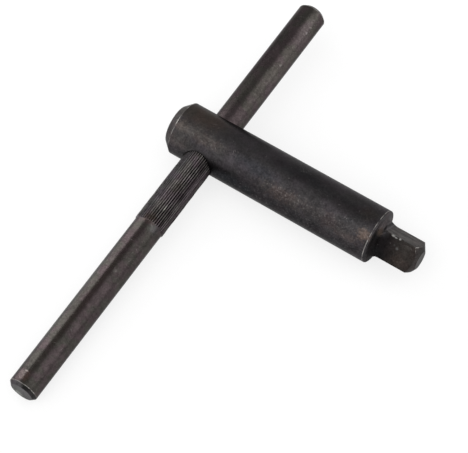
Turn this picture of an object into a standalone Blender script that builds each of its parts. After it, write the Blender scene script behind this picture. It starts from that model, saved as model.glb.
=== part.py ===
# T-handle chuck key: a turned steel body with a milled square drive, and a cross bar
# whose straight-knurled band is driven into the body's cross bore.
#
# The key is modelled as it comes to rest. The body lies on its side along X, with the
# drive towards +X. The bar runs along Y, with its long arm towards -Y and its tip on the
# surface. The origin is under the middle of the whole key, on that surface.

import math

import bmesh
import bpy
from mathutils import Matrix

MM = 0.001

# Body: one turned and milled piece
BODY_DIAMETER = 22.25 * MM
BODY_LENGTH = 93.1 * MM             # head end to shoulder
HEAD_CHAMFER_LENGTH = 3.3 * MM
HEAD_CHAMFER_DEPTH = 3.0 * MM
SHOULDER_ROUND = 0.8 * MM           # radius of the shoulder's rim

# Square drive, milled from a round spigot
DRIVE_LENGTH = 18.3 * MM            # shoulder to tip
DRIVE_WIDTH = 11.1 * MM             # across flats
CORNER_LAND = 0.2 * MM              # depth that the round spigot takes off each corner
DRIVE_TURN = math.radians(45.0)     # a corner points along the bar
ROOT_RADIUS = 2.0 * MM              # fillet where the spigot meets the shoulder
COLLAR_LENGTH = 1.3 * MM            # round stretch left between the shoulder and the milling
MILL_RADIUS = 2.8 * MM              # the milling cutter's radius, in which a flat runs out
TIP_CHAMFER_LENGTH = 2.4 * MM
TIP_CHAMFER_DEPTH = 3.8 * MM

# Cross bar
BAR_DIAMETER = 12.0 * MM
LONG_ARM = 126.0 * MM               # from the body's axis
SHORT_ARM = 73.7 * MM
BAR_FROM_HEAD = 16.8 * MM           # head end to the bar's axis
BAR_CHAMFER_LENGTH = 1.3 * MM
BAR_CHAMFER_DEPTH = 1.3 * MM

# Straight knurl on the bar: its ridges grip the bore
KNURL_START = 44.2 * MM             # from the body's axis, on the long arm
KNURL_LENGTH = 46.2 * MM
KNURL_RUN_IN = 0.8 * MM             # the ridges rise and fall over this length
KNURL_RISE = 0.4 * MM               # crests above the plain bar
KNURL_DEPTH = 0.5 * MM              # crest to root
KNURL_PITCH = 0.95 * MM

# Fits and facets
FIT_GAP = 0.3 * MM                  # between the bar and the bore that grips it
OVERRUN = 2.0 * MM                  # how far a cutter runs out past what it cuts
BODY_STEPS = 96
STEPS_PER_RIDGE = 3                 # two corners on the crest and one in the root
ROUND_STEPS = 4                     # facets in a quarter round
SHARP_ANGLE = math.radians(28.0)

# Sizes that follow from those above
body_radius = BODY_DIAMETER / 2
bar_radius = BAR_DIAMETER / 2
spigot_radius = DRIVE_WIDTH / math.sqrt(2) - CORNER_LAND
head_end = -BAR_FROM_HEAD
shoulder = head_end + BODY_LENGTH
drive_tip = shoulder + DRIVE_LENGTH
crest_radius = bar_radius + KNURL_RISE
root_radius = crest_radius - KNURL_DEPTH
knurl_end = KNURL_START - KNURL_LENGTH
ridge_count = round(2 * math.pi * crest_radius / KNURL_PITCH)
bar_steps = ridge_count * STEPS_PER_RIDGE


def clear_scene():
    for thing in list(bpy.data.objects):
        bpy.data.objects.remove(thing, do_unlink=True)


def new_collection(name):
    collection = bpy.data.collections.new(name)
    bpy.context.scene.collection.children.link(collection)
    return collection


def steel(name, colour, roughness):
    material = bpy.data.materials.new(name)
    material.use_nodes = True
    shader = material.node_tree.nodes["Principled BSDF"]
    shader.inputs["Base Color"].default_value = (*colour, 1.0)
    shader.inputs["Roughness"].default_value = roughness
    shader.inputs["Metallic"].default_value = 0.85
    material.diffuse_color = (*colour, 1.0)
    return material


def arc(centre, radius, start, end, steps):
    """Points of an arc in a profile's plane, ends included."""
    points = []
    for i in range(steps + 1):
        angle = math.radians(start + (end - start) * i / steps)
        points.append((centre[0] + radius * math.cos(angle), centre[1] + radius * math.sin(angle)))
    return points


def turned(name, profile, steps, collection):
    """A shape turned round Z from (radius, height) points, top to bottom."""
    mesh = bpy.data.meshes.new(name)
    edges = [(i, i + 1) for i in range(len(profile) - 1)]
    mesh.from_pydata([(radius, 0.0, height) for radius, height in profile], edges, [])
    thing = bpy.data.objects.new(name, mesh)
    collection.objects.link(thing)
    screw = thing.modifiers.new("turn", "SCREW")
    screw.axis = "Z"
    screw.angle = 2 * math.pi
    screw.steps = steps
    screw.render_steps = steps
    screw.use_merge_vertices = True
    screw.merge_threshold = 0.00002
    return thing


def make_cutter(thing):
    thing.hide_render = True
    thing.display_type = "WIRE"


def cut(thing, cutter):
    boolean = thing.modifiers.new("cut_" + cutter.name, "BOOLEAN")
    boolean.operation = "DIFFERENCE"
    boolean.solver = "EXACT"
    boolean.object = cutter


def settle(thing):
    """Puts the result of the modifiers into the object's own mesh."""
    bpy.context.view_layer.update()
    evaluated = thing.evaluated_get(bpy.context.evaluated_depsgraph_get())
    finished = bpy.data.meshes.new_from_object(evaluated)
    thing.modifiers.clear()
    thing.data = finished


def shade(thing):
    thing.data.shade_smooth()
    thing.data.set_sharp_from_angle(angle=SHARP_ANGLE)


# The body's outline, from the drive's tip down to the head end
def body_profile():
    fillet = min(ROOT_RADIUS, 0.9 * (body_radius - SHOULDER_ROUND - spigot_radius))
    rim = SHOULDER_ROUND
    points = [(0.0, drive_tip)]
    points.append((spigot_radius - TIP_CHAMFER_DEPTH, drive_tip))
    points.append((spigot_radius, drive_tip - TIP_CHAMFER_LENGTH))
    points += arc((spigot_radius + fillet, shoulder + fillet), fillet, 180, 270, ROUND_STEPS)
    points += arc((body_radius - rim, shoulder - rim), rim, 90, 0, ROUND_STEPS)
    points.append((body_radius, head_end + HEAD_CHAMFER_LENGTH))
    points.append((body_radius - HEAD_CHAMFER_DEPTH, head_end))
    points.append((0.0, head_end))
    return points


# The bar's outline, from the long arm's end to the short arm's
def bar_profile():
    points = [(0.0, LONG_ARM)]
    points.append((bar_radius - BAR_CHAMFER_DEPTH, LONG_ARM))
    points.append((bar_radius, LONG_ARM - BAR_CHAMFER_LENGTH))
    points.append((bar_radius, KNURL_START))
    points.append((crest_radius, KNURL_START - KNURL_RUN_IN))
    points.append((crest_radius, knurl_end + KNURL_RUN_IN))
    points.append((bar_radius, knurl_end))
    points.append((bar_radius, -SHORT_ARM + BAR_CHAMFER_LENGTH))
    points.append((bar_radius - BAR_CHAMFER_DEPTH, -SHORT_ARM))
    points.append((0.0, -SHORT_ARM))
    return points


# The bore, wide as far as the knurl has been driven in and plain beyond it
def bore_profile():
    reach = body_radius + OVERRUN
    step = max(knurl_end - FIT_GAP, FIT_GAP - body_radius)
    points = [(0.0, reach), (crest_radius + FIT_GAP, reach)]
    points.append((crest_radius + FIT_GAP, step))
    points.append((bar_radius + FIT_GAP, step))
    points += [(bar_radius + FIT_GAP, -reach), (0.0, -reach)]
    return points


def press_knurl(bar):
    """Presses a groove between each two ridges of the knurled band."""
    for vertex in bar.data.vertices:
        radius = math.hypot(vertex.co.x, vertex.co.y)
        if abs(radius - crest_radius) > 0.1 * KNURL_RISE:
            continue
        turn = math.atan2(vertex.co.y, vertex.co.x) / (2 * math.pi)
        if round(turn * bar_steps) % STEPS_PER_RIDGE == 0:
            vertex.co.x *= root_radius / crest_radius
            vertex.co.y *= root_radius / crest_radius


def flat_cutter(index, collection):
    """The block of metal that is milled away for one flat of the drive."""
    start = shoulder + COLLAR_LENGTH
    length = drive_tip + MILL_RADIUS + OVERRUN - start
    depth = 2 * MILL_RADIUS + OVERRUN
    size = (depth, 2 * (spigot_radius + MILL_RADIUS), length)
    middle = (DRIVE_WIDTH / 2 + depth / 2, 0.0, start + length / 2)
    turn = Matrix.Rotation(DRIVE_TURN + index * math.pi / 2, 4, "Z")
    place = turn @ Matrix.Translation(middle) @ Matrix.Diagonal((*size, 1.0))
    block = bmesh.new()
    bmesh.ops.create_cube(block, size=1.0, matrix=place)
    mesh = bpy.data.meshes.new(f"flat_cutter_{index + 1}")
    block.to_mesh(mesh)
    block.free()
    thing = bpy.data.objects.new(mesh.name, mesh)
    collection.objects.link(thing)
    bevel = thing.modifiers.new("run_out", "BEVEL")
    bevel.width = MILL_RADIUS
    bevel.segments = ROUND_STEPS
    make_cutter(thing)
    return thing


def resting_frame(collection):
    """An empty at the crossing of the two axes, rolled until the long arm's rim touches down."""
    rim = LONG_ARM - BAR_CHAMFER_LENGTH
    roll = math.asin(body_radius / math.hypot(rim, bar_radius)) - math.atan2(bar_radius, rim)
    end_radius = bar_radius - BAR_CHAMFER_DEPTH
    lowest_y = -LONG_ARM * math.cos(roll) - end_radius * math.sin(roll)
    highest_y = SHORT_ARM * math.cos(roll) + end_radius * math.sin(roll)
    frame = bpy.data.objects.new("resting_frame", None)
    collection.objects.link(frame)
    frame.location = (-(head_end + drive_tip) / 2, -(lowest_y + highest_y) / 2, body_radius)
    frame.rotation_euler = (roll, 0.0, 0.0)
    return frame


def build():
    clear_scene()
    key = new_collection("t_handle_chuck_key")
    cutters = new_collection("cutters")
    frame = resting_frame(key)

    along_body = (0.0, math.pi / 2, 0.0)       # turns the height of a profile towards +X
    along_bar = (math.pi / 2, 0.0, 0.0)        # turns it towards -Y

    body = turned("key_body", body_profile(), BODY_STEPS, key)
    body.parent = frame
    body.rotation_euler = along_body
    for index in range(4):
        block = flat_cutter(index, cutters)
        block.parent = frame
        block.rotation_euler = along_body
        cut(body, block)
    bore = turned("bore_cutter", bore_profile(), BODY_STEPS, cutters)
    bore.parent = frame
    bore.rotation_euler = along_bar
    make_cutter(bore)
    cut(body, bore)
    settle(body)
    body.data.materials.clear()
    body.data.materials.append(steel("blackened_steel_body", (0.047, 0.040, 0.038), 0.42))
    shade(body)

    bar = turned("cross_bar", bar_profile(), bar_steps, key)
    bar.parent = frame
    bar.rotation_euler = along_bar
    settle(bar)
    press_knurl(bar)
    bar.data.materials.clear()
    bar.data.materials.append(steel("blackened_steel_bar", (0.042, 0.036, 0.035), 0.38))
    shade(bar)


build()
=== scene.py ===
import math

import bmesh
import bpy
from mathutils import Matrix, Quaternion, Vector


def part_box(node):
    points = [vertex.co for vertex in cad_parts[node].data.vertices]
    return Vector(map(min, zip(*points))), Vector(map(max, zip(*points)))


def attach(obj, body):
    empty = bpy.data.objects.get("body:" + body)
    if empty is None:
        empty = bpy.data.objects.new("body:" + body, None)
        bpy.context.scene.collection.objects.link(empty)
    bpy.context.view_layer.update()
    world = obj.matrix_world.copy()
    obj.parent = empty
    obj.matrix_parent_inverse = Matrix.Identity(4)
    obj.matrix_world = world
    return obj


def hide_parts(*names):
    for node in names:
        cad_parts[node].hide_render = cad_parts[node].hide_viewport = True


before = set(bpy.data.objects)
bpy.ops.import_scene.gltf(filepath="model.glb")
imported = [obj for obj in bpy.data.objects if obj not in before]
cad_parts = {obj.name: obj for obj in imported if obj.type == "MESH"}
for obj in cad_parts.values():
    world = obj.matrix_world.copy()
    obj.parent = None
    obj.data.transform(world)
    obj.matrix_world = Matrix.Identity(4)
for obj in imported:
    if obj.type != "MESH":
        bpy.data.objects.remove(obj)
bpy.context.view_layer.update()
print("frame loaded:", sorted(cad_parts))

mm = 0.001

# Sizes in mm, as in the part. The tee frame has X along the body, Y along the bar, Z square to both.
bodySizes = {
    "radius": 11.125,
    "headEnd": -16.8,
    "shoulder": 76.3,
    "tip": 94.6,
    "headChamferLength": 3.3,
    "headChamferDepth": 3.0,
    "shoulderRound": 0.8,
    "driveWidth": 11.1,
    "spigotRadius": 7.649,
    "rootRadius": 2.0,
    "collarLength": 1.3,
    "millRadius": 2.8,          # the flats run out in an arc of this radius
    "millSteps": 14,
    "tipChamferLength": 2.4,
    "tipChamferDepth": 3.8,
    "rimRounding": 0.3,         # worn rims of the turned ends
    "tipRounding": 0.2,
    "edgeSoftness": 0.16,       # how far the milled edges are rubbed round
    "boreGap": 0.12,
    "boreLip": 0.06,            # rounding of the bore's mouths
    "lipReach": 3,              # how far it goes on, times the lip
    "boreOverrun": 2.0,
    "boreSteps": 240,
    "steps": 192,
    "edgeOffsets": (0.5, 1.2, 1.7, 2.0, 2.3, 2.6, 3.0, 3.6, 4.4),   # degrees, steps beside an edge
    "tipSpacing": 0.11,         # between rings: on the tip, the drive, round the bore, elsewhere
    "driveSpacing": 0.45,
    "boreSpacing": 0.3,
    "plainSpacing": 1.5,
    "tipReach": 0.5,            # how far the close rings go on from the tip and from the bar's axis
    "boreReach": 8.0,
    "sharpAngle": 32,
}

barSizes = {
    "radius": 6.0,
    "longArm": 126.0,
    "shortArm": 73.7,
    "chamferLength": 1.3,
    "chamferDepth": 1.3,
    "rimRounding": 0.22,
    "dish": 0.12,               # the ends are faced slightly hollow
    "startSpacing": 0.15,       # between rings: at the knurl's start, on it, in the bore, elsewhere
    "knurlSpacing": 0.55,
    "hiddenSpacing": 1.0,
    "plainSpacing": 2.5,
    "startReach": (-1.0, 1.5),
    "hiddenReach": (-8.0, 3.0),
    "sharpAngle": 40,
}

knurlSizes = {
    "start": 44.2,              # from the body's axis, on the long arm
    "length": 46.2,
    "runIn": 0.8,
    "crestRadius": 6.4,
    "depth": 0.5,
    "ridges": 42,
    "stepsPerRidge": 10,
    "nudge": 0.001,             # of a ridge, so that no corner lies on the border of two
    "crestShape": (0.04, 0.84), # where a flank starts and ends, on the way from groove to crest
    "crestWear": 0.14,          # most that a crest is worn down
    "ownWear": 0.4,             # share of it that is each ridge's own, and share that comes in patches
    "patchyWear": (0.42, 0.66, 0.0, 0.6),
    "patchSpread": (0.5, 0.22, 0.5),
    "patchNoise": (1.0, 3.0, 0.6),
    "seed": 7.0,
}

# The tee rests on the body's side and on the rim of the long arm's end
bodyLow, bodyHigh = (Vector(corner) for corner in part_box("key_body"))
rimReach = barSizes["longArm"] - barSizes["chamferLength"]
teeRoll = (math.asin(bodySizes["radius"] / math.hypot(rimReach, barSizes["radius"]))
           - math.atan2(barSizes["radius"], rimReach))
crossing = Vector((
    bodyLow.x - bodySizes["headEnd"] * mm,
    (bodyLow.y + bodyHigh.y) / 2,
    (bodyLow.z + bodyHigh.z) / 2,
))
teeToWorld = Matrix.Translation(crossing) @ Matrix.Rotation(teeRoll, 4, "X")


# Outlines. Corners are (along the axis, radius, rounding), in mm.
def roundedOutline(corners, arcSteps=7):
    points = [Vector(corners[0][:2])]
    for before, corner, after in zip(corners, corners[1:], corners[2:]):
        here = Vector(corner[:2])
        if corner[2] == 0.0:
            points.append(here)
            continue
        inward = (here - Vector(before[:2])).normalized()
        outward = (Vector(after[:2]) - here).normalized()
        reach = corner[2] * math.tan(inward.angle(outward) / 2)
        first = here - inward * reach
        last = here + outward * reach
        for i in range(arcSteps + 1):
            t = i / arcSteps
            points.append(first * (1 - t) ** 2 + here * 2 * t * (1 - t) + last * t ** 2)
    points.append(Vector(corners[-1][:2]))
    return points


# Adds points between those of an outline, about spacing(along) apart
def divided(outline, spacing):
    points = [outline[0]]
    for start, end in zip(outline, outline[1:]):
        here = start
        while (end - here).length > 1.3 * spacing(here.x):      # leaves no sliver before the end
            here = here + (end - here).normalized() * spacing(here.x)
            points.append(here)
        points.append(end)
    return points


# A closed skin of rings round an axis, "X" or "Y"; radiusAt may change each ring's radius by angle
def latheMesh(name, outline, angles, axis, radiusAt=None):
    work = bmesh.new()
    rings = []
    for along, radius in outline:
        ring = []
        for angle in angles if radius > 0.0 else [0.0]:
            reach = radiusAt(along, radius, angle) if radiusAt and radius > 0.0 else radius
            across, up = reach * math.cos(angle), reach * math.sin(angle)
            place = (along, across, up) if axis == "X" else (across, along, up)
            ring.append(work.verts.new(Vector(place) * mm))
        rings.append(ring)
    for one, two in zip(rings, rings[1:]):
        for i in range(len(angles)):
            j = (i + 1) % len(angles)
            if len(one) == 1:
                work.faces.new((one[0], two[i], two[j]))
            elif len(two) == 1:
                work.faces.new((one[i], one[j], two[0]))
            else:
                work.faces.new((one[i], one[j], two[j], two[i]))
    bmesh.ops.recalc_face_normals(work, faces=work.faces)
    mesh = bpy.data.meshes.new(name)
    work.to_mesh(mesh)
    work.free()
    return mesh


def evenAngles(count):
    return [2 * math.pi * i / count for i in range(count)]


def newObject(name, mesh):
    thing = bpy.data.objects.new(name, mesh)
    bpy.context.scene.collection.objects.link(thing)
    return thing


# Puts what the modifiers make into the object's own mesh
def bakeModifiers(thing):
    bpy.context.view_layer.update()
    evaluated = thing.evaluated_get(bpy.context.evaluated_depsgraph_get())
    finished = bpy.data.meshes.new_from_object(evaluated)
    thing.modifiers.clear()
    thing.data = finished


def finishPiece(thing, node, material, sharpAngle):
    thing.data.transform(teeToWorld)
    thing.data.materials.clear()
    thing.data.materials.append(material)
    thing.data.shade_smooth()
    thing.data.set_sharp_from_angle(angle=math.radians(sharpAngle))
    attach(thing, "root")
    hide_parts(node)
    print(thing.name, "has", len(thing.data.polygons), "faces")


# Node helpers, for shader and geometry trees
def give(tree, socket, value):
    if isinstance(value, bpy.types.NodeSocket):
        tree.links.new(value, socket)
    else:
        socket.default_value = value


# Inputs holds what the node is given, by the input's name or number
def addNode(tree, kind, inputs=None, **settings):
    node = tree.nodes.new(kind)
    for name, value in settings.items():
        setattr(node, name, value)
    for key, value in (inputs or {}).items():
        give(tree, node.inputs[key], value)
    return node


def calc(tree, operation, *values):
    return addNode(tree, "ShaderNodeMath", dict(enumerate(values)), operation=operation).outputs[0]


def vectorCalc(tree, operation, *values, output=0):
    node = addNode(tree, "ShaderNodeVectorMath", dict(enumerate(values)), operation=operation)
    return node.outputs[output]


def product(tree, *values):
    result = values[0]
    for value in values[1:]:
        result = calc(tree, "MULTIPLY", result, value)
    return result


def inverse(tree, value):
    return calc(tree, "SUBTRACT", 1.0, value)


def remap(tree, value, fromLow, fromHigh, toLow=0.0, toHigh=1.0, smooth=True):
    kind = "SMOOTHSTEP" if smooth else "LINEAR"
    inputs = {"Value": value, "From Min": fromLow, "From Max": fromHigh, "To Min": toLow, "To Max": toHigh}
    return addNode(tree, "ShaderNodeMapRange", inputs, interpolation_type=kind).outputs["Result"]


# Mask of a band at a place past a start: gone past the outer reach, full within the inner
def bandPast(tree, value, start, place, outer, inner):
    away = calc(tree, "ABSOLUTE", calc(tree, "SUBTRACT", value, start + place))
    return remap(tree, away, outer, inner)


def noiseAt(tree, vector, scale, detail=3.0, roughness=0.55, distortion=0.0):
    inputs = {"Vector": vector, "Scale": scale, "Detail": detail, "Roughness": roughness,
              "Distortion": distortion}
    return addNode(tree, "ShaderNodeTexNoise", inputs).outputs["Fac"]


# Turns a pattern and gives it cells of this size, in mm
def stretched(tree, vector, cell, turn=(0.0, 0.0, 0.0)):
    inputs = {"Vector": vector, "Rotation": turn, "Scale": cell}
    return addNode(tree, "ShaderNodeMapping", inputs, vector_type="TEXTURE").outputs["Vector"]


def mixColour(tree, amount, first, second, blend="MIX"):
    inputs = {0: amount, 6: first, 7: second}
    return addNode(tree, "ShaderNodeMix", inputs, data_type="RGBA", blend_type=blend).outputs[2]


def grey(level):
    return (level, level, level, 1.0)


def newGroup(name, kind, inputs, outputs):
    group = bpy.data.node_groups.new(name, kind)
    for label, socketType, default in inputs:
        socket = group.interface.new_socket(label, in_out="INPUT", socket_type=socketType)
        if default is not None:
            socket.default_value = default
    for label, socketType in outputs:
        group.interface.new_socket(label, in_out="OUTPUT", socket_type=socketType)
    return group, group.nodes.new("NodeGroupInput"), group.nodes.new("NodeGroupOutput")


def useGroup(tree, group, **inputs):
    return addNode(tree, "ShaderNodeGroup", inputs, node_tree=group)


# Patterns of the shader groups, on vectors in mm. A noise is scale, detail, roughness and distortion.
# A range is where a mask starts and where it is full, and may go on with its lowest and highest value.
patterns = {
    "wide": (0.14, 3.0, 0.5, 0.4),
    "close": (0.5, 4.0, 0.6),
    "fine": (1.5, 2.0, 0.5),
    "shares": (0.26, 0.36, 0.38),       # of the wide, close and fine noise in the clouds
    "cloudRange": (0.39, 0.61),
    "tint": (1.0, 3.0, 0.5),
    "tintCell": (6.0, 6.0, 6.0),
    "tintTurn": (1.2, 0.7, 0.4),
    "tintRange": (0.40, 0.60),
    "grain": (7.0, 3.0, 0.6),
    "edgeRagged": (1.4, 3.0, 0.6),
    "edgeWorn": (0.4, 3.0, 0.6),
    "edgeWornRange": (0.42, 0.60, 0.12, 0.95),
    "patchRagged": (0.8, 4.0, 0.65),
    "patchRange": (1.0, 0.2),
    "scratchCells": (                   # size and turn of the cells
        ((5.0, 0.4, 0.4), (0.3, 0.1, 0.5)),
        ((4.0, 0.4, 0.4), (0.2, 0.3, -0.7)),
        ((3.0, 0.35, 0.35), (0.4, 0.2, 1.4)),
    ),
    "scratchShare": 0.05,               # of the cells that hold one
    "scratchRange": (0.3, 0.1),
    "fleck": (1.5, 4.0, 0.7),
    "fleckRange": (0.56, 0.68),
}


# Shader groups that both steels share
def makeMottleGroup():
    group, source, target = newGroup(
        "steelMottle", "ShaderNodeTree",
        [("Vector", "NodeSocketVector", None)],
        [("Cloud", "NodeSocketFloat"), ("Tint", "NodeSocketFloat"), ("Grain", "NodeSocketFloat")])
    vector = source.outputs["Vector"]
    cloud = 0.0
    for kind, share in zip(("wide", "close", "fine"), patterns["shares"]):
        cloud = calc(group, "MULTIPLY_ADD", noiseAt(group, vector, *patterns[kind]), share, cloud)
    give(group, target.inputs["Cloud"], remap(group, cloud, *patterns["cloudRange"], smooth=False))
    cells = stretched(group, vector, patterns["tintCell"], patterns["tintTurn"])
    tint = noiseAt(group, cells, *patterns["tint"])
    give(group, target.inputs["Tint"], remap(group, tint, *patterns["tintRange"]))
    give(group, target.inputs["Grain"], noiseAt(group, vector, *patterns["grain"]))
    return group


def makeRimGroup():
    group, source, target = newGroup(
        "rimDistance", "ShaderNodeTree",
        [("Along", "NodeSocketFloat", 0.0), ("Radius", "NodeSocketFloat", 0.0),
         ("Rim Along", "NodeSocketFloat", 0.0), ("Rim Radius", "NodeSocketFloat", 0.0)],
        [("Distance", "NodeSocketFloat")])
    away = calc(group, "SUBTRACT", source.outputs["Along"], source.outputs["Rim Along"])
    off = calc(group, "SUBTRACT", source.outputs["Radius"], source.outputs["Rim Radius"])
    give(group, target.inputs["Distance"], lengthOf(group, away, off))
    return group


def makeWearGroup():
    group, source, target = newGroup(
        "edgeWear", "ShaderNodeTree",
        [("Vector", "NodeSocketVector", None), ("Distance", "NodeSocketFloat", 1.0),
         ("Width", "NodeSocketFloat", 0.3), ("Breakup", "NodeSocketFloat", 0.5)],
        [("Mask", "NodeSocketFloat")])
    vector = source.outputs["Vector"]
    rough = calc(group, "SUBTRACT", noiseAt(group, vector, *patterns["edgeRagged"]), 0.5)
    reach = calc(group, "MULTIPLY_ADD", rough, source.outputs["Breakup"], source.outputs["Distance"])
    line = remap(group, reach, source.outputs["Width"], 0.0)
    worn = remap(group, noiseAt(group, vector, *patterns["edgeWorn"]), *patterns["edgeWornRange"])
    give(group, target.inputs["Mask"], product(group, line, worn))
    return group


def makeRubGroup():
    group, source, target = newGroup(
        "rubbedPatch", "ShaderNodeTree",
        [("Vector", "NodeSocketVector", None), ("Centre", "NodeSocketVector", None),
         ("Size", "NodeSocketVector", (5.0, 5.0, 5.0)), ("Breakup", "NodeSocketFloat", 1.0)],
        [("Mask", "NodeSocketFloat")])
    vector = source.outputs["Vector"]
    offset = vectorCalc(group, "SUBTRACT", vector, source.outputs["Centre"])
    scaled = vectorCalc(group, "DIVIDE", offset, source.outputs["Size"])
    length = vectorCalc(group, "LENGTH", scaled, output="Value")
    rough = calc(group, "SUBTRACT", noiseAt(group, vector, *patterns["patchRagged"]), 0.5)
    reach = calc(group, "MULTIPLY_ADD", rough, source.outputs["Breakup"], length)
    give(group, target.inputs["Mask"], remap(group, reach, *patterns["patchRange"]))
    return group


# Short straight scratches, one in some of the long cells of a pattern, each of its own brightness
def scratchesAt(tree, vector, cell, turn):
    inputs = {"Vector": stretched(tree, vector, cell, turn), "Scale": 1.0}
    cells = addNode(tree, "ShaderNodeTexVoronoi", inputs)
    mark = remap(tree, cells.outputs["Distance"], *patterns["scratchRange"])
    chance = addNode(tree, "ShaderNodeSeparateXYZ", {0: cells.outputs["Color"]})
    chosen = calc(tree, "LESS_THAN", chance.outputs[0], patterns["scratchShare"])
    return product(tree, chosen, chance.outputs[1], mark)


def makeMarksGroup():
    group, source, target = newGroup(
        "smallMarks", "ShaderNodeTree",
        [("Vector", "NodeSocketVector", None)],
        [("Scratches", "NodeSocketFloat"), ("Flecks", "NodeSocketFloat")])
    vector = source.outputs["Vector"]
    scratches = 0.0
    for cell, turn in patterns["scratchCells"]:
        scratches = calc(group, "MAXIMUM", scratches, scratchesAt(group, vector, cell, turn))
    give(group, target.inputs["Scratches"], scratches)
    flecks = remap(group, noiseAt(group, vector, *patterns["fleck"]), *patterns["fleckRange"])
    give(group, target.inputs["Flecks"], flecks)
    return group


def lengthOf(tree, one, two):
    return calc(tree, "SQRT", calc(tree, "ADD", product(tree, one, one), product(tree, two, two)))


groups = {
    "mottle": makeMottleGroup(),
    "rim": makeRimGroup(),
    "wear": makeWearGroup(),
    "rub": makeRubGroup(),
    "marks": makeMarksGroup(),
}
print("shader groups made")

# What the two steels have in common
finish = {
    "bare": (0.42, 0.40, 0.38, 1.0),
    "metallic": 1.0,
    "edgeTint": (0.58, 0.58, 0.58, 1.0),
    "wearBreakup": 0.3,
    "brightest": 1.15,          # what the mottling multiplies its lightest places by
    "markStrength": 0.28,
    "roughnessSteps": (0.04, -0.03),    # in the mottling's darkest and lightest places
    "grainHeight": 0.010,       # mm, as the next two
    "cloudHeight": 0.004,
    "scratchDepth": 0.01,
}

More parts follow.
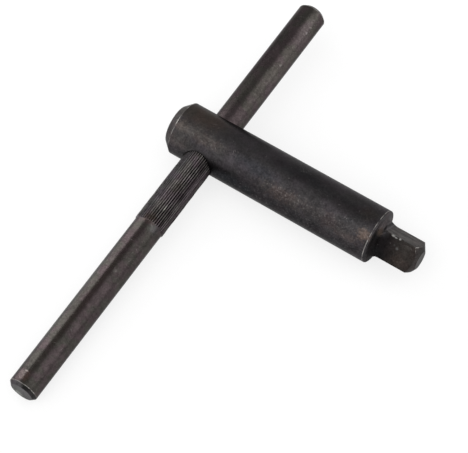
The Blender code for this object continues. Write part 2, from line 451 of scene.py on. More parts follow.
# Fades are ranges, in mm of the tee frame unless a note says past what they start
bodyFinish = {
    "light": (0.0605, 0.0565, 0.0615, 1.0),
    "tint": (0.059, 0.0525, 0.054, 1.0),
    "darkest": 0.032,           # level of the mottling's darkest places
    "hues": ((1.025, 0.98, 0.98, 1.0), (0.96, 1.01, 1.015, 1.0)),
    "roughness": 0.35,
    "wearWidth": 0.24,
    "calm": (-3.0, 3.0, 0.0, 0.45),     # the mottling is weaker on the back of the body
    # tones, rubbed patches, nicks and painted shade: centre, size, ragged edge, colour, strength, flecks
    "patches": [
        ((40.0, 1.8, 10.7), (24.0, 4.5, 6.0), 0.6, (0.0285, 0.0268, 0.0292, 1.0), 0.72, 0.0),
        ((64.0, -0.7, 11.0), (17.0, 4.7, 6.0), 0.6, (0.0300, 0.0280, 0.0295, 1.0), 0.75, 0.0),
        ((-6.0, 4.0, 10.0), (16.0, 9.0, 8.0), 0.6, (0.083, 0.067, 0.058, 1.0), 0.9, 0.0),
        ((-1.0, -4.5, 10.2), (16.0, 3.8, 4.5), 1.3, (0.090, 0.077, 0.072, 1.0), 0.8, 0.3),
        ((-10.0, -9.0, 6.5), (9.0, 5.5, 5.5), 0.8, (0.086, 0.076, 0.073, 1.0), 0.8, 0.2),
        ((24.0, -5.0, 9.9), (17.0, 4.5, 5.0), 0.6, (0.052, 0.0495, 0.058, 1.0), 0.65, 0.0),
        # painted shade: darkens the body's lower front side, which faces the floor
        ((32.0, -11.0, 1.9), (70.0, 3.6, 6.2), 0.8, (0.028, 0.026, 0.028, 1.0), 0.88, 0.5),
        ((38.5, -7.9, 7.7), (15.0, 4.2, 4.6), 2.2, (0.090, 0.075, 0.071, 1.0), 0.8, 1.0),
        ((58.0, -8.1, 7.6), (15.0, 4.0, 4.8), 2.2, (0.075, 0.064, 0.064, 1.0), 0.8, 0.7),
        # painted shade on the lower front side, near the shoulder
        ((69.0, -10.6, 3.0), (13.0, 3.0, 4.6), 0.8, (0.036, 0.033, 0.035, 1.0), 0.75, 0.3),
        ((67.0, -9.2, 6.2), (9.0, 2.2, 2.6), 1.6, (0.098, 0.083, 0.080, 1.0), 0.7, 0.7),
        ((73.2, -6.6, 9.0), (4.0, 3.6, 3.4), 1.6, (0.158, 0.112, 0.095, 1.0), 0.85, 1.0),
        ((-11.0, -4.2, 10.3), (4.4, 3.4, 3.4), 1.6, (0.118, 0.094, 0.083, 1.0), 0.6, 0.4),
        ((71.0, 1.5, 11.0), (5.0, 5.0, 3.0), 1.0, (0.052, 0.043, 0.039, 1.0), 0.6, 0.3),
        ((40.0, 4.3, 10.2), (3.4, 2.4, 3.0), 0.6, (0.060, 0.058, 0.060, 1.0), 0.3, 1.0),
        ((64.6, -4.7, 10.1), (3.4, 1.8, 2.0), 1.0, (0.066, 0.062, 0.066, 1.0), 0.5, 1.0),
        # painted shade on the lower front side, near the head
        ((16.0, -11.0, 2.0), (14.0, 3.4, 5.0), 0.6, (0.020, 0.021, 0.024, 1.0), 0.75, 0.0),
        ((82.5, 0.0, 7.6), (1.2, 0.7, 0.7), 1.0, (0.42, 0.40, 0.38, 1.0), 1.0, 0.0),
        ((83.7, -0.3, 7.5), (0.8, 0.4, 0.5), 1.0, (0.32, 0.30, 0.29, 1.0), 0.9, 0.0),
        ((85.4, 0.0, 7.6), (0.7, 0.7, 0.7), 0.8, (0.42, 0.40, 0.38, 1.0), 1.0, 0.0),
        ((88.0, -5.6, 2.2), (3.4, 1.8, 2.4), 1.6, (0.062, 0.050, 0.043, 1.0), 0.6, 0.2),
        ((85.8, -2.9, 5.0), (0.8, 0.8, 0.8), 0.6, (0.110, 0.105, 0.104, 1.0), 0.8, 0.0),
        ((84.3, -2.3, 5.5), (0.6, 0.6, 0.6), 0.5, (0.080, 0.074, 0.074, 1.0), 0.7, 0.0),
        ((90.0, -1.0, 6.8), (2.0, 0.8, 0.8), 1.4, (0.110, 0.095, 0.088, 1.0), 0.6, 0.0),
    ],
    "chamfer": (0.064, 0.058, 0.059, 1.0),
    "chamferFade": 0.3,
    # the drive's flats
    "flatFront": (0.0175, 0.0150, 0.0150, 1.0),
    "flatFrontTip": (0.045, 0.0375, 0.0340, 1.0),
    "frontFade": (79.5, 89.5),
    "flatUpper": (0.104, 0.092, 0.087, 1.0),
    "upperFade": (-0.25, 0.25),
    "driveFade": (0.3, 1.0),            # past the collar, and past the arc
    "flatFade": (0.4, 0.1),             # off the flats
    "flatLines": (0.034, 0.031, 0.030, 1.0),
    "lineCell": (6.0, 0.95, 0.95),
    "lineTurn": (0.0, 0.0, 0.12),
    "lineNoise": (1.0, 2.0, 0.5),
    "lineRange": (0.48, 0.56, 0.0, 0.8),
    "ridgeHighlightBand": (1.35, 0.3, 0.1),      # painted highlight on the milling's ridge and the painted shadow line after it, past the collar
    "shadowBand": (0.6, 0.4, 0.1),      # past the collar
    # the tip
    "cone": (0.050, 0.045, 0.043, 1.0),
    "coneFade": (0.0, 0.2),             # past the chamfer's start
    "coneEdgeFade": (0.1, 0.3),         # off the flats
    "tipCorner": ((92.4, 0.2, 7.2), (3.4, 5.4, 5.4), 0.6),  # the tip's edge is worn only here
    "tipCornerReach": 0.92,
    # the shoulder and the drive's root
    "shoulder": (0.062, 0.057, 0.059, 1.0),
    # the shoulder's upper side, painted light
    "shoulderPaintedLight": (0.115, 0.104, 0.107, 1.0),
    "shoulderRoughness": 0.65,
    "shoulderFade": 0.5,
    "collarFade": 0.6,
    "inwardsFade": (10.6, 8.2),         # radii
    "lightSideTilt": 0.5,                   # share of Z in the way towards the side painted light
    "lightSideFade": (0.0, 4.0),
    # painted shade in the drive's root and on the shoulder's lower front
    "rootPaintedShade": (0.017, 0.0155, 0.016, 1.0),
    "rootShadeFade": (0.3, 1.3),             # past the shoulder
    "rootShadeEnd": (9.5, 1.8),              # past the shoulder, and past the collar
    "rootWarm": (0.080, 0.060, 0.048, 1.0),
    "warmRoot": ((77.4, -1.4, 7.8), (1.7, 2.8, 2.2), 1.0),
    "rootStrength": 0.8,
}

barFinish = {
    "light": (0.068, 0.056, 0.055, 1.0),
    "tint": (0.064, 0.056, 0.054, 1.0),
    "darkest": 0.036,
    "hues": ((1.03, 0.975, 1.035, 1.0), (0.955, 1.012, 0.945, 1.0)),
    "roughness": 0.24,
    "wearWidth": 0.22,
    "patches": [
        # painted reflection: a light band along the long arm's left side
        ((-5.0, -84.0, 3.6), (2.4, 60.0, 3.8), 0.4, (0.140, 0.130, 0.130, 1.0), 0.9, 0.0),
        # painted shade: a dark line along the long arm's top
        ((0.3, -84.0, 6.0), (1.7, 60.0, 1.6), 0.6, (0.050, 0.0375, 0.035, 1.0), 0.75, 0.0),
        ((-2.4, -121.8, 5.4), (2.6, 3.2, 2.4), 1.3, (0.098, 0.081, 0.077, 1.0), 0.9, 0.5),
        ((-1.4, -122.6, 5.8), (1.3, 1.8, 1.5), 1.2, (0.132, 0.109, 0.103, 1.0), 0.8, 0.5),
        ((-1.3, -119.7, 5.9), (1.1, 0.5, 0.8), 0.6, (0.250, 0.220, 0.210, 1.0), 0.9, 0.0),
        ((3.9, -45.8, 4.5), (3.6, 2.8, 3.2), 0.8, (0.084, 0.083, 0.081, 1.0), 0.85, 0.0),
        ((2.1, -68.6, 5.6), (1.2, 1.4, 1.2), 0.8, (0.120, 0.108, 0.102, 1.0), 0.8, 0.0),
        # painted highlight along the short arm's right side
        ((4.8, 42.0, 4.4), (4.4, 44.0, 5.0), 0.6, (0.102, 0.086, 0.084, 1.0), 0.88, 0.4),
        ((3.9, 64.0, 5.0), (3.8, 13.0, 4.0), 0.9, (0.124, 0.109, 0.103, 1.0), 0.7, 0.6),
        # painted shade along the short arm's left side
        ((-5.0, 44.0, 4.0), (4.5, 42.0, 6.0), 0.5, (0.0465, 0.037, 0.040, 1.0), 0.75, 0.0),
        ((4.4, 61.7, 4.1), (0.7, 0.9, 0.7), 0.8, (0.300, 0.280, 0.270, 1.0), 0.8, 0.0),
        ((4.4, 64.9, 4.1), (0.8, 1.0, 0.8), 0.8, (0.200, 0.180, 0.170, 1.0), 0.7, 0.0),
        ((4.1, 42.9, 4.4), (0.8, 1.0, 0.8), 0.8, (0.240, 0.220, 0.210, 1.0), 0.8, 0.0),
        # painted highlights: glints on knurl crests, this one and the next
        ((2.8, -36.2, 5.7), (0.7, 2.1, 0.7), 0.5, (0.400, 0.380, 0.360, 1.0), 0.9, 0.0),
        ((3.1, -19.9, 5.6), (0.7, 1.1, 0.7), 0.4, (0.300, 0.280, 0.270, 1.0), 0.8, 0.0),
        # painted shade on the left of the end's chamfer
        ((-4.4, -125.3, 3.0), (2.2, 1.3, 3.4), 0.8, (0.050, 0.040, 0.041, 1.0), 0.85, 0.0),
        # painted highlight on the lower left of the end face
        ((-1.9, -126.0, -2.8), (2.8, 1.6, 2.6), 1.2, (0.340, 0.335, 0.330, 1.0), 0.8, 0.0),
        ((0.4, -42.6, 5.9), (4.0, 3.2, 2.6), 1.8, (0.080, 0.060, 0.053, 1.0), 0.9, 0.5),
        ((1.2, -26.0, 6.0), (2.4, 6.0, 1.8), 1.4, (0.108, 0.089, 0.085, 1.0), 0.6, 0.2),
        ((0.1, -121.6, 6.0), (1.6, 3.4, 1.2), 1.0, (0.088, 0.059, 0.051, 1.0), 0.85, 0.0),
        ((-3.2, -126.0, 3.0), (3.2, 1.5, 3.2), 0.8, (0.072, 0.070, 0.071, 1.0), 0.7, 0.0),
    ],
    # the knurl: its tone changes over X as painted shading matched to each side, from the cool left to the
    # side and the darker right edge
    "knurl": (0.222, 0.198, 0.200, 1.0),
    "knurlCool": (0.094, 0.088, 0.091, 1.0),
    "coolFade": (-0.4, -2.4),
    "knurlSide": (0.150, 0.134, 0.137, 1.0),
    "sideFade": (1.4, 3.0),
    "knurlDirty": (0.60, 0.58, 0.59, 1.0),
    "edgeFade": (5.8, 6.3),
    "ridgeDirt": (0.7, 0.3),            # of the ridge's random number
    "ridgeDirtFade": (1.0, 3.5, 0.4, 1.0),
    "knurlDull": (0.66, 0.63, 0.64, 1.0),
    "streakCell": (0.55, 6.0, 0.55),
    "streakNoise": (1.0, 3.0, 0.6),
    "streakRange": (0.54, 0.42),
    "knurlRoughness": 0.40,
    "bandFade": (-0.2, 0.5),            # past the knurl's start
    "bandEndFade": (4.0, 2.0),
    "groove": (0.024, 0.021, 0.021, 1.0),
    "grooveFade": (0.8, 3.0, 0.4, 0.95),
    "grooveStart": (2.0, 5.0, 0.24, 0.10),  # depth below the crests, which changes over X
    "grooveFull": (2.0, 5.0, 0.42, 0.34),
    "blotchCell": (3.0, 7.0, 3.0),
    "blotchNoise": (1.0, 3.0, 0.6),
    "blotchRange": (0.42, 0.56, 0.5, 1.0),
    # the long arm's end
    "endFace": (0.098, 0.095, 0.096, 1.0),
    "endFade": 0.2,
    # painted shade on one side of the end's chamfer
    "endPaintedShade": (0.030, 0.029, 0.029, 1.0),
    "endShadeFade": (-0.5, 1.5),
    "endChamferFade": (-0.1, 0.2),      # past the end face's radius
}


# The tee frame in mm, from Object coordinates: the whole vector and its X, Y and Z
def teeCoordinates(tree):
    coordinates = addNode(tree, "ShaderNodeTexCoord")
    inputs = {"Vector": coordinates.outputs["Object"], "Location": crossing,
              "Rotation": (teeRoll, 0.0, 0.0), "Scale": (mm, mm, mm)}
    vector = addNode(tree, "ShaderNodeMapping", inputs, vector_type="TEXTURE").outputs["Vector"]
    return vector, *addNode(tree, "ShaderNodeSeparateXYZ", {0: vector}).outputs


def smallest(tree, distances):
    least = distances[0]
    for distance in distances[1:]:
        least = calc(tree, "MINIMUM", least, distance)
    return least


def rimDistances(tree, along, radius, rims):
    found = []
    for rimAlong, rimRadius in rims:
        node = useGroup(tree, groups["rim"], Along=along, Radius=radius,
                        **{"Rim Along": rimAlong, "Rim Radius": rimRadius})
        found.append(node.outputs["Distance"])
    return found


def edgeWear(tree, vector, distance, width):
    node = useGroup(tree, groups["wear"], Vector=vector, Distance=distance, Width=width,
                    Breakup=finish["wearBreakup"])
    return node.outputs["Mask"]


def rubbedPatch(tree, vector, centre, size, ragged):
    node = useGroup(tree, groups["rub"], Vector=vector, Centre=centre, Size=size, Breakup=ragged)
    return node.outputs["Mask"]


def newMaterial(name):
    material = bpy.data.materials.new(name)
    material.use_nodes = True
    return material, material.node_tree, material.node_tree.nodes["Principled BSDF"]


def newSteel(name):
    material, tree, shader = newMaterial(name)
    shader.inputs["Metallic"].default_value = finish["metallic"]
    shader.inputs["Specular Tint"].default_value = finish["edgeTint"]
    return material, tree, shader


# Colour, roughness and bump. Each layer is (mask, colour) and lies over the base colour. Dull is the
# least roughness and calm how much the mottling is weakened, where they are given.
def dressSteel(tree, shader, vector, steel, wear, layers, dull=None, calm=None):
    mottle = useGroup(tree, groups["mottle"], Vector=vector)
    marks = useGroup(tree, groups["marks"], Vector=vector)
    cloud = mottle.outputs["Cloud"]
    if calm:
        cloud = calc(tree, "MULTIPLY_ADD", calc(tree, "SUBTRACT", 0.5, cloud), calm, cloud)
    colour = mixColour(tree, mottle.outputs["Tint"], steel["light"], steel["tint"])
    for mask, tone in layers:
        colour = mixColour(tree, mask, colour, tone)
    flecked = 0.0
    for centre, size, ragged, tone, strength, flecks in steel["patches"]:
        mask = rubbedPatch(tree, vector, centre, size, ragged)
        colour = mixColour(tree, product(tree, mask, strength), colour, tone)
        if flecks:
            flecked = calc(tree, "MAXIMUM", flecked, product(tree, mask, flecks))
    # the mottling darkens whatever lies under it, and shifts its hue
    darkest = steel["darkest"] / steel["light"][1]
    shade = mixColour(tree, cloud, grey(darkest), grey(finish["brightest"]))
    colour = mixColour(tree, 1.0, colour, shade, "MULTIPLY")
    hue = mixColour(tree, mottle.outputs["Tint"], *steel["hues"])
    colour = mixColour(tree, 1.0, colour, hue, "MULTIPLY")
    scratches = marks.outputs["Scratches"]
    bright = calc(tree, "MAXIMUM", product(tree, marks.outputs["Flecks"], flecked), scratches)
    colour = mixColour(tree, product(tree, bright, finish["markStrength"]), colour, finish["bare"])
    colour = mixColour(tree, wear, colour, finish["bare"])
    give(tree, shader.inputs["Base Color"], colour)
    duller, shinier = (steel["roughness"] + step for step in finish["roughnessSteps"])
    rough = remap(tree, cloud, 0.0, 1.0, duller, shinier)
    if dull:
        rough = calc(tree, "MAXIMUM", rough, dull)
    give(tree, shader.inputs["Roughness"], rough)
    grain = product(tree, mottle.outputs["Grain"], finish["grainHeight"])
    height = calc(tree, "ADD", grain, product(tree, cloud, finish["cloudHeight"]))
    height = calc(tree, "SUBTRACT", height, product(tree, scratches, finish["scratchDepth"]))
    bump = addNode(tree, "ShaderNodeBump", {"Strength": 1.0, "Distance": mm, "Height": height})
    give(tree, shader.inputs["Normal"], bump.outputs["Normal"])


def makeBodySteel():
    size, steel = bodySizes, bodyFinish
    material, tree, shader = newSteel("blackenedSteelBody")
    vector, x, y, z = teeCoordinates(tree)
    radius = lengthOf(tree, y, z)
    shoulder = size["shoulder"]
    milled = shoulder + size["collarLength"]
    headRim = size["headEnd"] + size["headChamferLength"]
    # distance from the flats, whose normals lie halfway between Y and Z
    diagonal = math.sqrt(0.5)
    oneWay = calc(tree, "ABSOLUTE", product(tree, calc(tree, "ADD", y, z), diagonal))
    otherWay = calc(tree, "ABSOLUTE", product(tree, calc(tree, "SUBTRACT", y, z), diagonal))
    across = calc(tree, "MAXIMUM", oneWay, otherWay)
    offFlat = calc(tree, "ABSOLUTE", calc(tree, "SUBTRACT", across, size["driveWidth"] / 2))
    # distance from the edge where the flats meet the cone of the tip's chamfer
    slope = size["tipChamferDepth"] / size["tipChamferLength"]
    past = calc(tree, "SUBTRACT", x, size["tip"] - size["tipChamferLength"])
    cone = calc(tree, "SUBTRACT", size["spigotRadius"], product(tree, past, slope))
    offCone = calc(tree, "ABSOLUTE", calc(tree, "SUBTRACT", radius, cone))
    tipEdge = calc(tree, "MAXIMUM", offFlat, offCone)
    tipCorner = rubbedPatch(tree, vector, *steel["tipCorner"])
    tipEdge = calc(tree, "ADD", tipEdge, calc(tree, "SUBTRACT", steel["tipCornerReach"], tipCorner))
    rims = [(headRim, size["radius"]), (shoulder - size["shoulderRound"], size["radius"])]
    distance = smallest(tree, rimDistances(tree, x, radius, rims) + [tipEdge])
    wear = edgeWear(tree, vector, distance, steel["wearWidth"])
    # the drive's flats: the front one darkens towards its root, the upper one shows milling lines
    driveStart, driveFull = steel["driveFade"]
    onDrive = remap(tree, x, milled + driveStart, milled + size["millRadius"] + driveFull)
    onFlat = product(tree, onDrive, remap(tree, offFlat, *steel["flatFade"]))
    upper = remap(tree, y, *steel["upperFade"])
    onUpper = product(tree, onFlat, upper)
    front = mixColour(tree, remap(tree, x, *steel["frontFade"]), steel["flatFront"], steel["flatFrontTip"])
    lineCells = stretched(tree, vector, steel["lineCell"], steel["lineTurn"])
    lines = noiseAt(tree, lineCells, *steel["lineNoise"])
    onCone = product(tree, remap(tree, past, *steel["coneFade"]),
                     remap(tree, offFlat, *steel["coneEdgeFade"]))
    # on the upper flat, a painted highlight along the milling's ridge, with a painted shadow line after it
    ridge = product(tree, upper, bandPast(tree, x, milled, *steel["ridgeHighlightBand"]))
    ridgeShadow = product(tree, upper, bandPast(tree, x, milled, *steel["shadowBand"]))
    # up and to the back the shoulder is painted light, down and to the front its root is painted shade
    lightSide = remap(tree, calc(tree, "MULTIPLY_ADD", z, steel["lightSideTilt"], y), *steel["lightSideFade"])
    shadeSide = inverse(tree, lightSide)
    rootShadeStart, rootShadeFull = steel["rootShadeFade"]
    rootShadeEnd, rootShadeStill = steel["rootShadeEnd"]
    nearRoot = product(tree, remap(tree, x, shoulder + rootShadeStart, shoulder + rootShadeFull),
                       remap(tree, x, shoulder + rootShadeEnd, milled + rootShadeStill))
    dirtAndShade = product(tree, nearRoot, shadeSide)
    pastShoulder = remap(tree, x, shoulder - steel["shoulderFade"], shoulder)
    onShoulder = product(tree, pastShoulder, remap(tree, x, milled + steel["collarFade"], milled))
    # in front the shoulder is painted shade from its rim inwards
    inwards = product(tree, onShoulder, remap(tree, radius, *steel["inwardsFade"]), shadeSide)
    warmRoot = rubbedPatch(tree, vector, *steel["warmRoot"])
    strength = steel["rootStrength"]
    layers = [
        (remap(tree, x, headRim, headRim - steel["chamferFade"]), steel["chamfer"]),
        (onShoulder, steel["shoulder"]),
        (product(tree, onShoulder, lightSide), steel["shoulderPaintedLight"]),
        (product(tree, onFlat, inverse(tree, upper)), front),
        (onUpper, steel["flatUpper"]),
        (product(tree, onUpper, remap(tree, lines, *steel["lineRange"])), steel["flatLines"]),
        (onCone, steel["cone"]),
        (inwards, steel["rootPaintedShade"]),
        (dirtAndShade, steel["rootPaintedShade"]),
        # painted shadow line and painted highlight of the milling's ridge
        (product(tree, ridgeShadow, strength), steel["rootPaintedShade"]),
        (product(tree, ridge, strength), steel["shoulderPaintedLight"]),
        (product(tree, warmRoot, strength), steel["rootWarm"]),
    ]
    dull = product(tree, calc(tree, "MAXIMUM", onShoulder, dirtAndShade), steel["shoulderRoughness"])
    calm = remap(tree, y, *steel["calm"])
    dressSteel(tree, shader, vector, steel, wear, layers, dull, calm)
    return material


def makeBarSteel():
    size, steel, knurl = barSizes, barFinish, knurlSizes
    material, tree, shader = newSteel("blackenedSteelBar")
    vector, x, y, z = teeCoordinates(tree)
    radius = lengthOf(tree, x, z)
    endRim = -size["longArm"] + size["chamferLength"]
    endRadius = size["radius"] - size["chamferDepth"]
    rims = [(endRim, size["radius"]), (size["shortArm"] - size["chamferLength"], size["radius"])]
    distance = smallest(tree, rimDistances(tree, y, radius, rims))
    wear = edgeWear(tree, vector, distance, steel["wearWidth"])
    # the knurl's crests are rubbed light, with duller streaks
    bandFade = [-knurl["start"] + step for step in steel["bandFade"]]
    inBand = product(tree, remap(tree, y, *bandFade), remap(tree, y, *steel["bandEndFade"]))
    # over X the crests' tone is painted shading, matched to how each side is lit
    crest = mixColour(tree, remap(tree, x, *steel["coolFade"]), steel["knurl"], steel["knurlCool"])
    crest = mixColour(tree, remap(tree, x, *steel["sideFade"]), crest, steel["knurlSide"])
    crest = mixColour(tree, remap(tree, x, *steel["edgeFade"]), crest, steel["knurlDirty"], "MULTIPLY")
    streaks = noiseAt(tree, stretched(tree, vector, steel["streakCell"]), *steel["streakNoise"])
    streaks = remap(tree, streaks, *steel["streakRange"])
    crest = mixColour(tree, streaks, crest, steel["knurlDull"], "MULTIPLY")
    # some ridges are dirtier than others, most of all on the side away from the worn top
    perTurn = knurl["ridges"] / (2 * math.pi)
    count = calc(tree, "MULTIPLY_ADD", calc(tree, "ARCTAN2", z, x), perTurn, knurl["nudge"])
    ridge = calc(tree, "FLOOR", count)
    perRidge = addNode(tree, "ShaderNodeTexWhiteNoise", {"W": ridge}, noise_dimensions="1D")
    dirtAndShade = product(tree, remap(tree, perRidge.outputs["Value"], *steel["ridgeDirt"]),
                    remap(tree, x, *steel["ridgeDirtFade"]))
    crest = mixColour(tree, dirtAndShade, crest, steel["knurlDirty"], "MULTIPLY")
    # its grooves are painted darker, in blotches, by an amount that changes over X
    depth = calc(tree, "SUBTRACT", knurl["crestRadius"], radius)
    groove = remap(tree, depth, remap(tree, x, *steel["grooveStart"]),
                   remap(tree, x, *steel["grooveFull"]))
    blotches = noiseAt(tree, stretched(tree, vector, steel["blotchCell"]), *steel["blotchNoise"])
    groove = product(tree, groove, remap(tree, x, *steel["grooveFade"]),
                     remap(tree, blotches, *steel["blotchRange"]))
    # on the long arm's end, one side of the chamfer is painted shade
    onEnd = remap(tree, y, endRim, endRim - steel["endFade"])
    chamferFade = [endRadius + step for step in steel["endChamferFade"]]
    onChamfer = product(tree, onEnd, remap(tree, radius, *chamferFade))
    layers = [
        (inBand, crest),
        (product(tree, groove, inBand), steel["groove"]),
        (onEnd, steel["endFace"]),
        (product(tree, onChamfer, remap(tree, x, *steel["endShadeFade"])), steel["endPaintedShade"]),
    ]
    dull = product(tree, inBand, steel["knurlRoughness"])
    dressSteel(tree, shader, vector, steel, wear, layers, dull)
    return material


# The body
def softMin(one, two, softness):
    share = min(max(0.5 + 0.5 * (two - one) / softness, 0.0), 1.0)
    return two + (one - two) * share - softness * share * (1 - share)


def bodyRadiusAt(along, radius, angle):
    size = bodySizes
    milled = size["shoulder"] + size["collarLength"]
    if along > milled:
        back = max(milled + size["millRadius"] - along, 0.0)
        rise = size["millRadius"] - math.sqrt(size["millRadius"] ** 2 - back ** 2)
        level = size["driveWidth"] / 2 + rise
        fromNormal = angle % (math.pi / 2) - math.pi / 4
        return softMin(radius, level / math.cos(fromNormal), size["edgeSoftness"])
    # the bore's mouths are broken where they leave the round side
    across = radius * math.cos(angle)
    bore = size["boreGap"] + (knurlSizes["crestRadius"] if across < 0.0 else barSizes["radius"])
    gap = math.hypot(along, radius * math.sin(angle)) - bore
    lip = size["boreLip"]
    reach = size["lipReach"] * lip
    if abs(across) > size["radius"] / 2 and gap < reach:
        return radius - lip * (1 - max(gap, 0.0) / reach) ** 2
    return radius


def bodyOutline():
    size = bodySizes
    spigot = size["spigotRadius"]
    rounding = size["rimRounding"]
    tipChamfer = size["tip"] - size["tipChamferLength"]
    corners = [
        (size["headEnd"], 0.0, 0.0),
        (size["headEnd"], size["radius"] - size["headChamferDepth"], rounding),
        (size["headEnd"] + size["headChamferLength"], size["radius"], rounding),
        (size["shoulder"], size["radius"], size["shoulderRound"]),
        (size["shoulder"], spigot, size["rootRadius"]),
        (tipChamfer, spigot, size["tipRounding"]),
        (size["tip"], spigot - size["tipChamferDepth"], size["tipRounding"]),
        (size["tip"], 0.0, 0.0),
    ]

    def spacing(along):
        if along > tipChamfer - size["tipReach"]:
            return size["tipSpacing"]
        if along > size["shoulder"]:
            return size["driveSpacing"]
        if abs(along) < size["boreReach"]:
            return size["boreSpacing"]
        return size["plainSpacing"]

    return withStations(divided(roundedOutline(corners), spacing), millStations())


# Rings that follow the arc in which the flats run out
def millStations():
    size = bodySizes
    fullFlat = size["shoulder"] + size["collarLength"] + size["millRadius"]
    return [fullFlat - size["millRadius"] * math.sin(math.pi / 2 * i / size["millSteps"])
            for i in range(size["millSteps"], -1, -1)]


# Adds a point to an outline at each station that it has none near
def withStations(outline, stations, near=0.01):
    points = list(outline)
    for station in stations:
        if min(abs(point.x - station) for point in points) < near:
            continue
        index = next(i for i, point in enumerate(points) if point.x > station)
        before, after = points[index - 1], points[index]
        share = (station - before.x) / (after.x - before.x)
        points.insert(index, before + (after - before) * share)
    return points


# Even steps, with closer ones beside the drive's four edges
def bodyAngles():
    angles = evenAngles(bodySizes["steps"])
    for corner in range(4):
        for offset in bodySizes["edgeOffsets"]:
            angles += [math.radians(corner * 90 + side * offset) % (2 * math.pi) for side in (-1, 1)]
    return sorted(angles)


def makeBody():
    size = bodySizes
    body = newObject("steelBody", latheMesh("steelBody", bodyOutline(), bodyAngles(), "X", bodyRadiusAt))
    plainBore = barSizes["radius"] + size["boreGap"]
    wideBore = knurlSizes["crestRadius"] + size["boreGap"]
    reach = size["radius"] + size["boreOverrun"]
    step = knurlSizes["length"] - knurlSizes["start"] + size["boreGap"]
    boreOutline = [Vector(point) for point in
                   ((-reach, 0.0), (-reach, wideBore), (step, wideBore), (step, plainBore),
                    (reach, plainBore), (reach, 0.0))]
    boreMesh = latheMesh("boreCutter", boreOutline, evenAngles(size["boreSteps"]), "Y")
    bore = newObject("boreCutter", boreMesh)
    boolean = body.modifiers.new("bore", "BOOLEAN")
    boolean.operation = "DIFFERENCE"
    boolean.solver = "EXACT"
    boolean.object = bore
    bakeModifiers(body)
    bpy.data.objects.remove(bore)
    finishPiece(body, "key_body", makeBodySteel(), size["sharpAngle"])


# The knurl: a geometry node tree that presses ridges into a plain bar
def makeKnurlTree():
    group, source, target = newGroup(
        "knurlRidges", "GeometryNodeTree",
        [("Geometry", "NodeSocketGeometry", None), ("Ridges", "NodeSocketFloat", 42.0),
         ("Plain Radius", "NodeSocketFloat", 6.0), ("Crest Radius", "NodeSocketFloat", 6.3),
         ("Depth", "NodeSocketFloat", 0.4), ("Band Start", "NodeSocketFloat", 0.0),
         ("Band End", "NodeSocketFloat", 0.0), ("Run In", "NodeSocketFloat", 1.0),
         ("Crest Wear", "NodeSocketFloat", 0.1), ("Seed", "NodeSocketFloat", 1.0),
         ("Material", "NodeSocketMaterial", None)],
        [("Geometry", "NodeSocketGeometry")])
    knurl = knurlSizes
    value = source.outputs
    position = addNode(group, "GeometryNodeInputPosition").outputs[0]
    inputs = {0: position, "Scale": 1 / mm}
    inMm = addNode(group, "ShaderNodeVectorMath", inputs, operation="SCALE").outputs[0]
    x, y, z = addNode(group, "ShaderNodeSeparateXYZ", {0: inMm}).outputs
    radius = lengthOf(group, x, z)
    # each ridge, from groove to crest and back
    turn = calc(group, "DIVIDE", calc(group, "ARCTAN2", z, x), 2 * math.pi)
    count = calc(group, "ADD", product(group, turn, value["Ridges"]), knurl["nudge"])
    phase = calc(group, "FRACT", count)
    offCrest = calc(group, "ABSOLUTE", calc(group, "SUBTRACT", product(group, phase, 2.0), 1.0))
    shape = remap(group, inverse(group, offCrest), *knurl["crestShape"])
    # how far each ridge is worn down, on the whole and in patches
    pair = addNode(group, "ShaderNodeCombineXYZ", {0: calc(group, "FLOOR", count), 1: value["Seed"]})
    inputs = {"Vector": pair.outputs[0]}
    perRidge = addNode(group, "ShaderNodeTexWhiteNoise", inputs, noise_dimensions="2D")
    spread = vectorCalc(group, "MULTIPLY", inMm, knurl["patchSpread"])
    patches = noiseAt(group, spread, *knurl["patchNoise"])
    worn = calc(group, "ADD", product(group, perRidge.outputs["Value"], knurl["ownWear"]),
                remap(group, patches, *knurl["patchyWear"]))
    crest = calc(group, "SUBTRACT", value["Crest Radius"], product(group, worn, value["Crest Wear"]))
    root = calc(group, "SUBTRACT", value["Crest Radius"], value["Depth"])
    ridge = calc(group, "ADD", root, product(group, calc(group, "SUBTRACT", crest, root), shape))
    # the ridges rise and fall at the ends of the band
    risen = calc(group, "ADD", value["Band Start"], value["Run In"])
    falling = calc(group, "SUBTRACT", value["Band End"], value["Run In"])
    inBand = product(group, remap(group, y, value["Band Start"], risen),
                     remap(group, y, value["Band End"], falling))
    lift = product(group, inBand, calc(group, "SUBTRACT", ridge, value["Plain Radius"]))
    # moves each corner outwards by its lift; the least radius keeps the axis out of the division
    leastRadius = 1e-6
    factor = calc(group, "DIVIDE", product(group, lift, mm),
                  calc(group, "MAXIMUM", product(group, radius, mm), leastRadius))
    outward = vectorCalc(group, "MULTIPLY", position, (1.0, 0.0, 1.0))
    inputs = {0: outward, "Scale": factor}
    offset = addNode(group, "ShaderNodeVectorMath", inputs, operation="SCALE")
    inputs = {"Geometry": value["Geometry"], "Offset": offset.outputs[0]}
    move = addNode(group, "GeometryNodeSetPosition", inputs)
    realize = addNode(group, "GeometryNodeRealizeInstances", {"Geometry": move.outputs["Geometry"]})
    inputs = {"Geometry": realize.outputs["Geometry"], "Material": value["Material"]}
    paint = addNode(group, "GeometryNodeSetMaterial", inputs)
    give(group, target.inputs["Geometry"], paint.outputs["Geometry"])
    return group


def setInputs(modifier, values):
    for item in modifier.node_group.interface.items_tree:
        if item.item_type == "SOCKET" and item.in_out == "INPUT" and item.name in values:
            modifier[item.identifier] = values[item.name]


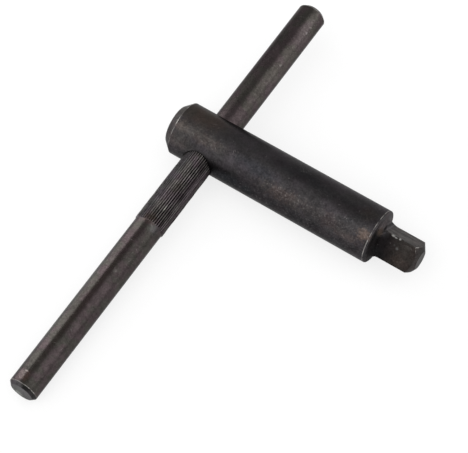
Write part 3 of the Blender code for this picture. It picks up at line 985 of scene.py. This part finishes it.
def barOutline():
    size = barSizes
    endRadius = size["radius"] - size["chamferDepth"]
    corners = [
        (-size["longArm"] + size["dish"], 0.0, 0.0),
        (-size["longArm"], endRadius, size["rimRounding"]),
        (-size["longArm"] + size["chamferLength"], size["radius"], size["rimRounding"]),
        (size["shortArm"] - size["chamferLength"], size["radius"], size["rimRounding"]),
        (size["shortArm"], endRadius, size["rimRounding"]),
        (size["shortArm"] - size["dish"], 0.0, 0.0),
    ]
    knurlStart = -knurlSizes["start"]
    startLow, startHigh = (knurlStart + step for step in size["startReach"])
    hiddenLow, hiddenHigh = size["hiddenReach"]

    def spacing(along):
        if startLow < along < startHigh:
            return size["startSpacing"]
        if knurlStart < along < hiddenLow:
            return size["knurlSpacing"]
        if hiddenLow < along < hiddenHigh:
            return size["hiddenSpacing"]
        return size["plainSpacing"]

    return divided(roundedOutline(corners), spacing)


def makeBar():
    size = knurlSizes
    angles = evenAngles(size["ridges"] * size["stepsPerRidge"])
    bar = newObject("steelCrossBar", latheMesh("steelCrossBar", barOutline(), angles, "Y"))
    steel = makeBarSteel()
    modifier = bar.modifiers.new("knurl", "NODES")
    modifier.node_group = makeKnurlTree()
    setInputs(modifier, {
        "Ridges": float(size["ridges"]),
        "Plain Radius": barSizes["radius"],
        "Crest Radius": size["crestRadius"],
        "Depth": size["depth"],
        "Band Start": -size["start"],
        "Band End": size["length"] - size["start"],
        "Run In": size["runIn"],
        "Crest Wear": size["crestWear"],
        "Seed": size["seed"],
        "Material": steel,
    })
    bakeModifiers(bar)
    finishPiece(bar, "cross_bar", steel, barSizes["sharpAngle"])


makeBody()
makeBar()
print("pieces made")

# Camera: it looks down on the key from the front right
view = {
    "azimuth": 33.46,
    "elevation": 59.39,
    "roll": 0.1,
    "distance": 0.748,
    "aim": (-0.011217, -0.000351, 0.011073),
    "focalPixels": 1958.2,
    "pixelsWide": 468,
    "sensor": 36.0,
    "clipStart": 0.01,
}


def directionTo(azimuth, elevation):
    turn, lift = math.radians(azimuth), math.radians(elevation)
    return Vector((math.sin(turn) * math.cos(lift), -math.cos(turn) * math.cos(lift), math.sin(lift)))


def makeCamera():
    camera = bpy.data.cameras.new("camera")
    camera.sensor_width = view["sensor"]
    camera.lens = view["focalPixels"] * view["sensor"] / view["pixelsWide"]
    camera.clip_start = view["clipStart"]
    thing = newObject("camera", camera)
    towards = directionTo(view["azimuth"], view["elevation"])
    thing.location = Vector(view["aim"]) + towards * view["distance"]
    level = towards.to_track_quat("Z", "Y")
    thing.rotation_euler = (level @ Quaternion((0.0, 0.0, 1.0), math.radians(view["roll"]))).to_euler()
    bpy.context.scene.camera = thing


# Floor and light
studio = {
    "floorSize": 6.0,
    "floorColour": (0.93, 0.93, 0.93, 1.0),
    "floorRoughness": 0.9,
    "paperWhite": 0.75,         # how far the floor shows as plain white
    "ambient": 0.53,
}

# Wide soft boxes of the world: azimuth, elevation, outer and inner reach in degrees, brightness
softBoxes = {
    "front": (-28.0, 46.0, 38.0, 0.0, 0.74),
    "frontHigh": (-60.0, 66.0, 28.0, 0.0, 0.20),
    "frontLow": (-30.0, 12.0, 30.0, 0.0, 0.20),
    "backRight": (126.0, 44.0, 38.0, 12.0, 0.74),
    "backLow": (116.0, 10.0, 26.0, 0.0, 0.25),
    # these two show only from other sides
    "right": (62.0, 30.0, 44.0, 8.0, 0.70),
    "left": (-72.0, 14.0, 28.0, 0.0, 0.45),
}

# Near lamps: azimuth, elevation, distance, width, height, watts, seen in reflections
lamps = {
    "overheadFill": (0.0, 88.0, 1.6, 1.6, 1.6, 3.5, False),
    "frontFill": (0.0, 42.0, 1.5, 1.4, 0.9, 6.0, False),
    "leftCard": (-101.0, 24.0, 0.32, 0.20, 0.30, 0.38, True),
}


def makeFloor():
    work = bmesh.new()
    bmesh.ops.create_grid(work, x_segments=2, y_segments=2, size=studio["floorSize"] / 2)
    mesh = bpy.data.meshes.new("floor")
    work.to_mesh(mesh)
    work.free()
    floor = newObject("floor", mesh)
    material, tree, shader = newMaterial("paleFloor")
    shader.inputs["Base Color"].default_value = studio["floorColour"]
    shader.inputs["Roughness"].default_value = studio["floorRoughness"]
    shader.inputs["Specular IOR Level"].default_value = 0.0
    # the camera and the steel see the floor as mostly white paper, with a faint shadow left
    paper = addNode(tree, "ShaderNodeEmission")
    path = addNode(tree, "ShaderNodeLightPath")
    seen = calc(tree, "MAXIMUM", path.outputs["Is Camera Ray"], path.outputs["Is Glossy Ray"])
    inputs = {0: product(tree, seen, studio["paperWhite"]), 1: shader.outputs[0], 2: paper.outputs[0]}
    mix = addNode(tree, "ShaderNodeMixShader", inputs)
    give(tree, tree.nodes["Material Output"].inputs["Surface"], mix.outputs[0])
    mesh.materials.append(material)


def makeWorld():
    world = bpy.data.worlds.new("studio")
    bpy.context.scene.world = world
    world.use_nodes = True
    tree = world.node_tree
    coordinates = addNode(tree, "ShaderNodeTexCoord")
    colour = grey(studio["ambient"])
    for azimuth, elevation, outer, inner, brightness in softBoxes.values():
        towards = directionTo(azimuth, elevation)
        facing = vectorCalc(tree, "DOT_PRODUCT", coordinates.outputs["Generated"], towards, output="Value")
        edge, full = (math.cos(math.radians(reach)) for reach in (outer, inner))
        amount = remap(tree, facing, edge, full)
        colour = mixColour(tree, amount, colour, grey(brightness), "ADD")
    give(tree, tree.nodes["Background"].inputs["Color"], colour)


def makeLamps():
    middle = Vector(view["aim"])
    for name, (azimuth, elevation, distance, width, height, watts, seen) in lamps.items():
        lamp = bpy.data.lights.new(name, "AREA")
        lamp.shape = "RECTANGLE"
        lamp.size = width
        lamp.size_y = height
        lamp.energy = watts
        thing = newObject(name, lamp)
        towards = directionTo(azimuth, elevation)
        thing.location = middle + towards * distance
        thing.rotation_euler = towards.to_track_quat("Z", "Y").to_euler()
        thing.visible_glossy = seen


makeCamera()
makeFloor()
makeWorld()
makeLamps()
bpy.context.scene.view_settings.view_transform = "Standard"
print("camera, floor and light set")
